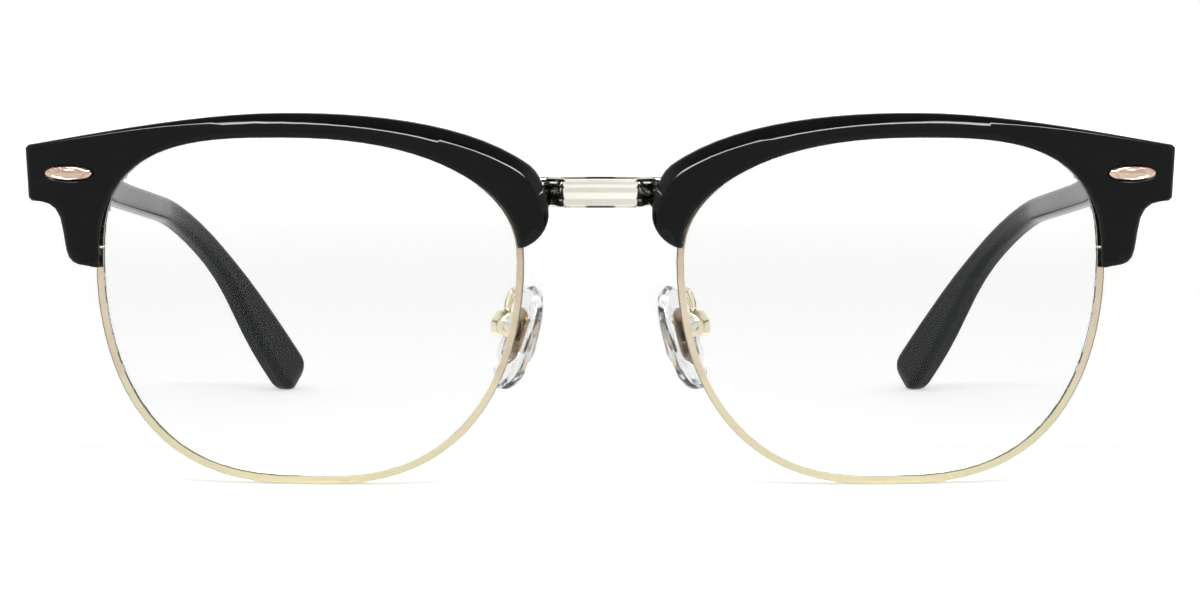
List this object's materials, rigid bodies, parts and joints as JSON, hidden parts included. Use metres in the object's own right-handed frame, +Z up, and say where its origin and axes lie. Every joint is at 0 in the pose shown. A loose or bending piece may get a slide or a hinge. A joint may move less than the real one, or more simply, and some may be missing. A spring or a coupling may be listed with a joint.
{
  "type": "half rim eyeglasses",
  "caption": "Half rim eyeglasses with black brow bars, grooved metal eyewires, a ribbed bridge, rocking nose pads and folding temples.",
  "frame": {"origin": "under the middle of the open frame, on the surface it stands on", "axes": "+X towards the wearer's left, the front faces -Y and the temples run back along +Y, +Z up"},
  "size_m": [0.1464, 0.1447, 0.0468],
  "materials": {
    "acetate": "polished black acetate",
    "eyewire": "champagne plating",
    "lens": "clear, coated",
    "bridge": "polished, pale gold",
    "screws": "turned",
    "pad_metal": "champagne plating",
    "pad_silicone": "clear, soft",
    "pad_insert": "polished",
    "shield": "polished, rose tint",
    "hinge": "satin nickel",
    "core_wire": "drawn wire"
  },
  "bodies": {
    "front": {"brow_left": "acetate", "brow_right": "acetate", "rim_left": "eyewire", "rim_right": "eyewire", "lens_left": "lens", "lens_right": "lens", "bridge": "bridge", "rim_lock_upper_left": "eyewire", "rim_lock_upper_right": "eyewire", "rim_lock_lower_left": "eyewire", "rim_lock_lower_right": "eyewire", "rim_screws": "screws", "brow_screws": "screws", "pad_arm_left": "pad_metal", "pad_arm_right": "pad_metal", "pad_box_left": "pad_metal", "pad_box_right": "pad_metal", "pad_screws": "screws", "rivet_shield_left": "shield", "rivet_shield_right": "shield", "hinge_front_left": "hinge", "hinge_front_right": "hinge", "hinge_screws": "screws"},
    "temple_left": {"temple_left": "acetate", "core_wire_left": "core_wire", "hinge_temple_left": "hinge"},
    "temple_right": {"temple_right": "acetate", "core_wire_right": "core_wire", "hinge_temple_right": "hinge"},
    "pad_left": {"nose_pad_left": "pad_silicone", "pad_insert_left": "pad_insert"},
    "pad_right": {"nose_pad_right": "pad_silicone", "pad_insert_right": "pad_insert"}
  },
  "joints": [
    {"name": "temple_left_fold", "type": "hinge", "parent": "front", "child": "temple_left", "pos_m": [0.0671, -0.05691, 0.03915], "axis": [0, 0, 1], "range_deg": [0, 85]},
    {"name": "temple_right_fold", "type": "hinge", "parent": "front", "child": "temple_right", "pos_m": [-0.0671, -0.05691, 0.03915], "axis": [0, 0, -1], "range_deg": [0, 80]},
    {"name": "pad_left_rock", "type": "hinge", "parent": "front", "child": "pad_left", "pos_m": [0.0124, -0.06331, 0.0199], "axis": [0.5, 0.866, 0], "range_deg": [-8, 8]},
    {"name": "pad_right_rock", "type": "hinge", "parent": "front", "child": "pad_right", "pos_m": [-0.0124, -0.06331, 0.0199], "axis": [0.5, -0.866, 0], "range_deg": [-8, 8]}
  ]
}
